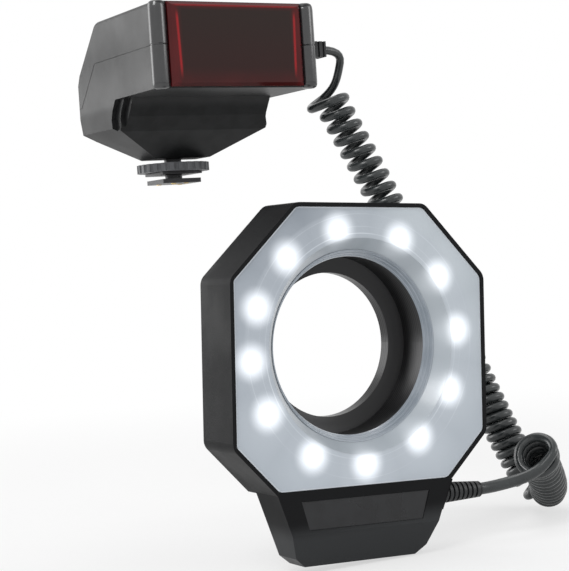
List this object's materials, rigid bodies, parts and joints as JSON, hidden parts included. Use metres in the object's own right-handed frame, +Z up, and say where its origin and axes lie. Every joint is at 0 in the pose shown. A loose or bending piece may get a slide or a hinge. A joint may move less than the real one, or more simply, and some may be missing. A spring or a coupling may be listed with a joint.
{
  "type": "macro ring light",
  "caption": "Macro ring light: octagonal LED head on a lens adapter ring, curly cord, and a hot-shoe control unit with a red front window.",
  "frame": {"origin": "middle of the underside of the shoe foot, where it slides into an accessory shoe", "axes": "+X to the right of someone facing the light, +Y away from them (the way the light does not shine), +Z up"},
  "size_m": [0.1802, 0.1626, 0.2201],
  "materials": {
    "black_plastic": "fine satin",
    "red_window": "polished, deep red",
    "green_board": "solder mask",
    "lamp_lens": "clear",
    "holder_plastic": "matt",
    "cell_wrap": "shrink sleeve",
    "spring_steel": "nickel plated",
    "panel_film": "satin film",
    "button_rubber": "silky",
    "switch_plastic": "satin",
    "pilot_lens": "diffuse",
    "capacitor_sleeve": "shrink sleeve",
    "foot_metal": "satin black",
    "contact_gold": "gold plated",
    "cord_rubber": "soft sheen",
    "relief_rubber": "matt",
    "diffuser_frost": "frosted",
    "tray_white": "white reflector",
    "lamp_dome": "lit white",
    "plate_film": "satin, left bare",
    "adapter_black": "black anodised",
    "latch_plastic": "fine ribbed"
  },
  "bodies": {
    "light": {"unit_upper_shell": "black_plastic", "unit_lower_shell": "black_plastic", "front_window": "red_window", "lamp_board": "green_board", "focus_lamp_left": "lamp_lens", "focus_lamp_right": "lamp_lens", "battery_holder": "holder_plastic", "battery_cell_1": "cell_wrap", "battery_cell_2": "cell_wrap", "battery_cell_3": "cell_wrap", "battery_cell_4": "cell_wrap", "bay_contacts": "spring_steel", "door_hinge_pin": "spring_steel", "control_panel": "panel_film", "pilot_lamps": "pilot_lens", "panel_board": "green_board", "main_board": "green_board", "storage_capacitor": "capacitor_sleeve", "shoe_foot": "foot_metal", "shoe_contacts": "contact_gold", "unit_cord_gland": "relief_rubber", "cord_lead": "cord_rubber", "cord_coil": "cord_rubber", "cord_tail": "cord_rubber", "ring_cord_relief": "relief_rubber", "ring_front_shell": "black_plastic", "ring_rear_shell": "black_plastic", "chin_plate": "plate_film", "diffuser": "diffuser_frost", "reflector_tray": "tray_white", "led_board": "green_board", "driver_board": "green_board", "led_01": "lamp_dome", "led_02": "lamp_dome", "led_03": "lamp_dome", "led_04": "lamp_dome", "led_05": "lamp_dome", "led_06": "lamp_dome", "led_07": "lamp_dome", "led_08": "lamp_dome", "led_09": "lamp_dome", "led_10": "lamp_dome", "led_11": "lamp_dome", "led_12": "lamp_dome"},
    "door": {"battery_door": "black_plastic", "door_contacts": "spring_steel"},
    "test_button": {"test_button": "button_rubber"},
    "mode_button": {"mode_button": "button_rubber"},
    "level_button": {"level_button": "button_rubber"},
    "power_switch": {"power_switch": "switch_plastic"},
    "lock_plate": {"lock_plate": "foot_metal"},
    "lock_wheel": {"lock_wheel": "foot_metal"},
    "adapter": {"adapter_ring": "adapter_black"},
    "latch_left": {"latch_left": "latch_plastic"},
    "latch_right": {"latch_right": "latch_plastic"}
  },
  "joints": [
    {"name": "door_hinge", "type": "hinge", "parent": "light", "child": "door", "pos_m": [0.0358, -0.0292, 0.0389], "axis": [0, 1, 0], "range_deg": [0, 85]},
    {"name": "test_button_press", "type": "slide", "parent": "light", "child": "test_button", "axis": [0, -0.7071, -0.7071], "range_m": [0, 0.0008], "stiffness_N_per_m": 800},
    {"name": "mode_button_press", "type": "slide", "parent": "light", "child": "mode_button", "axis": [0, -0.7071, -0.7071], "range_m": [0, 0.0008], "stiffness_N_per_m": 800},
    {"name": "level_button_press", "type": "slide", "parent": "light", "child": "level_button", "axis": [0, -0.7071, -0.7071], "range_m": [0, 0.0008], "stiffness_N_per_m": 800},
    {"name": "power_slide", "type": "slide", "parent": "light", "child": "power_switch", "axis": [1, 0, 0], "range_m": [0, 0.004]},
    {"name": "lock_lift", "type": "slide", "parent": "light", "child": "lock_plate", "axis": [0, 0, -1], "range_m": [0, 0.0016]},
    {"name": "wheel_turn", "type": "hinge", "parent": "lock_plate", "child": "lock_wheel", "pos_m": [0, 0, 0.0067], "axis": [0, 0, 1], "range_deg": [0, 385]},
    {"name": "adapter_turn", "type": "hinge", "parent": "light", "child": "adapter", "pos_m": [0, -0.134, -0.0695], "axis": [0, 1, 0], "continuous": true},
    {"name": "latch_left_slide", "type": "slide", "parent": "light", "child": "latch_left", "axis": [-0.9986, 0, 0.0523], "range_m": [0, 0.0022], "stiffness_N_per_m": 400},
    {"name": "latch_right_slide", "type": "slide", "parent": "light", "child": "latch_right", "axis": [0.9986, 0, -0.0523], "range_m": [0, 0.0022], "stiffness_N_per_m": 400}
  ],
  "couplings": [
    {"joint": "wheel_turn", "follows": "lock_lift", "rad_per_m": 4188.8}
  ]
}
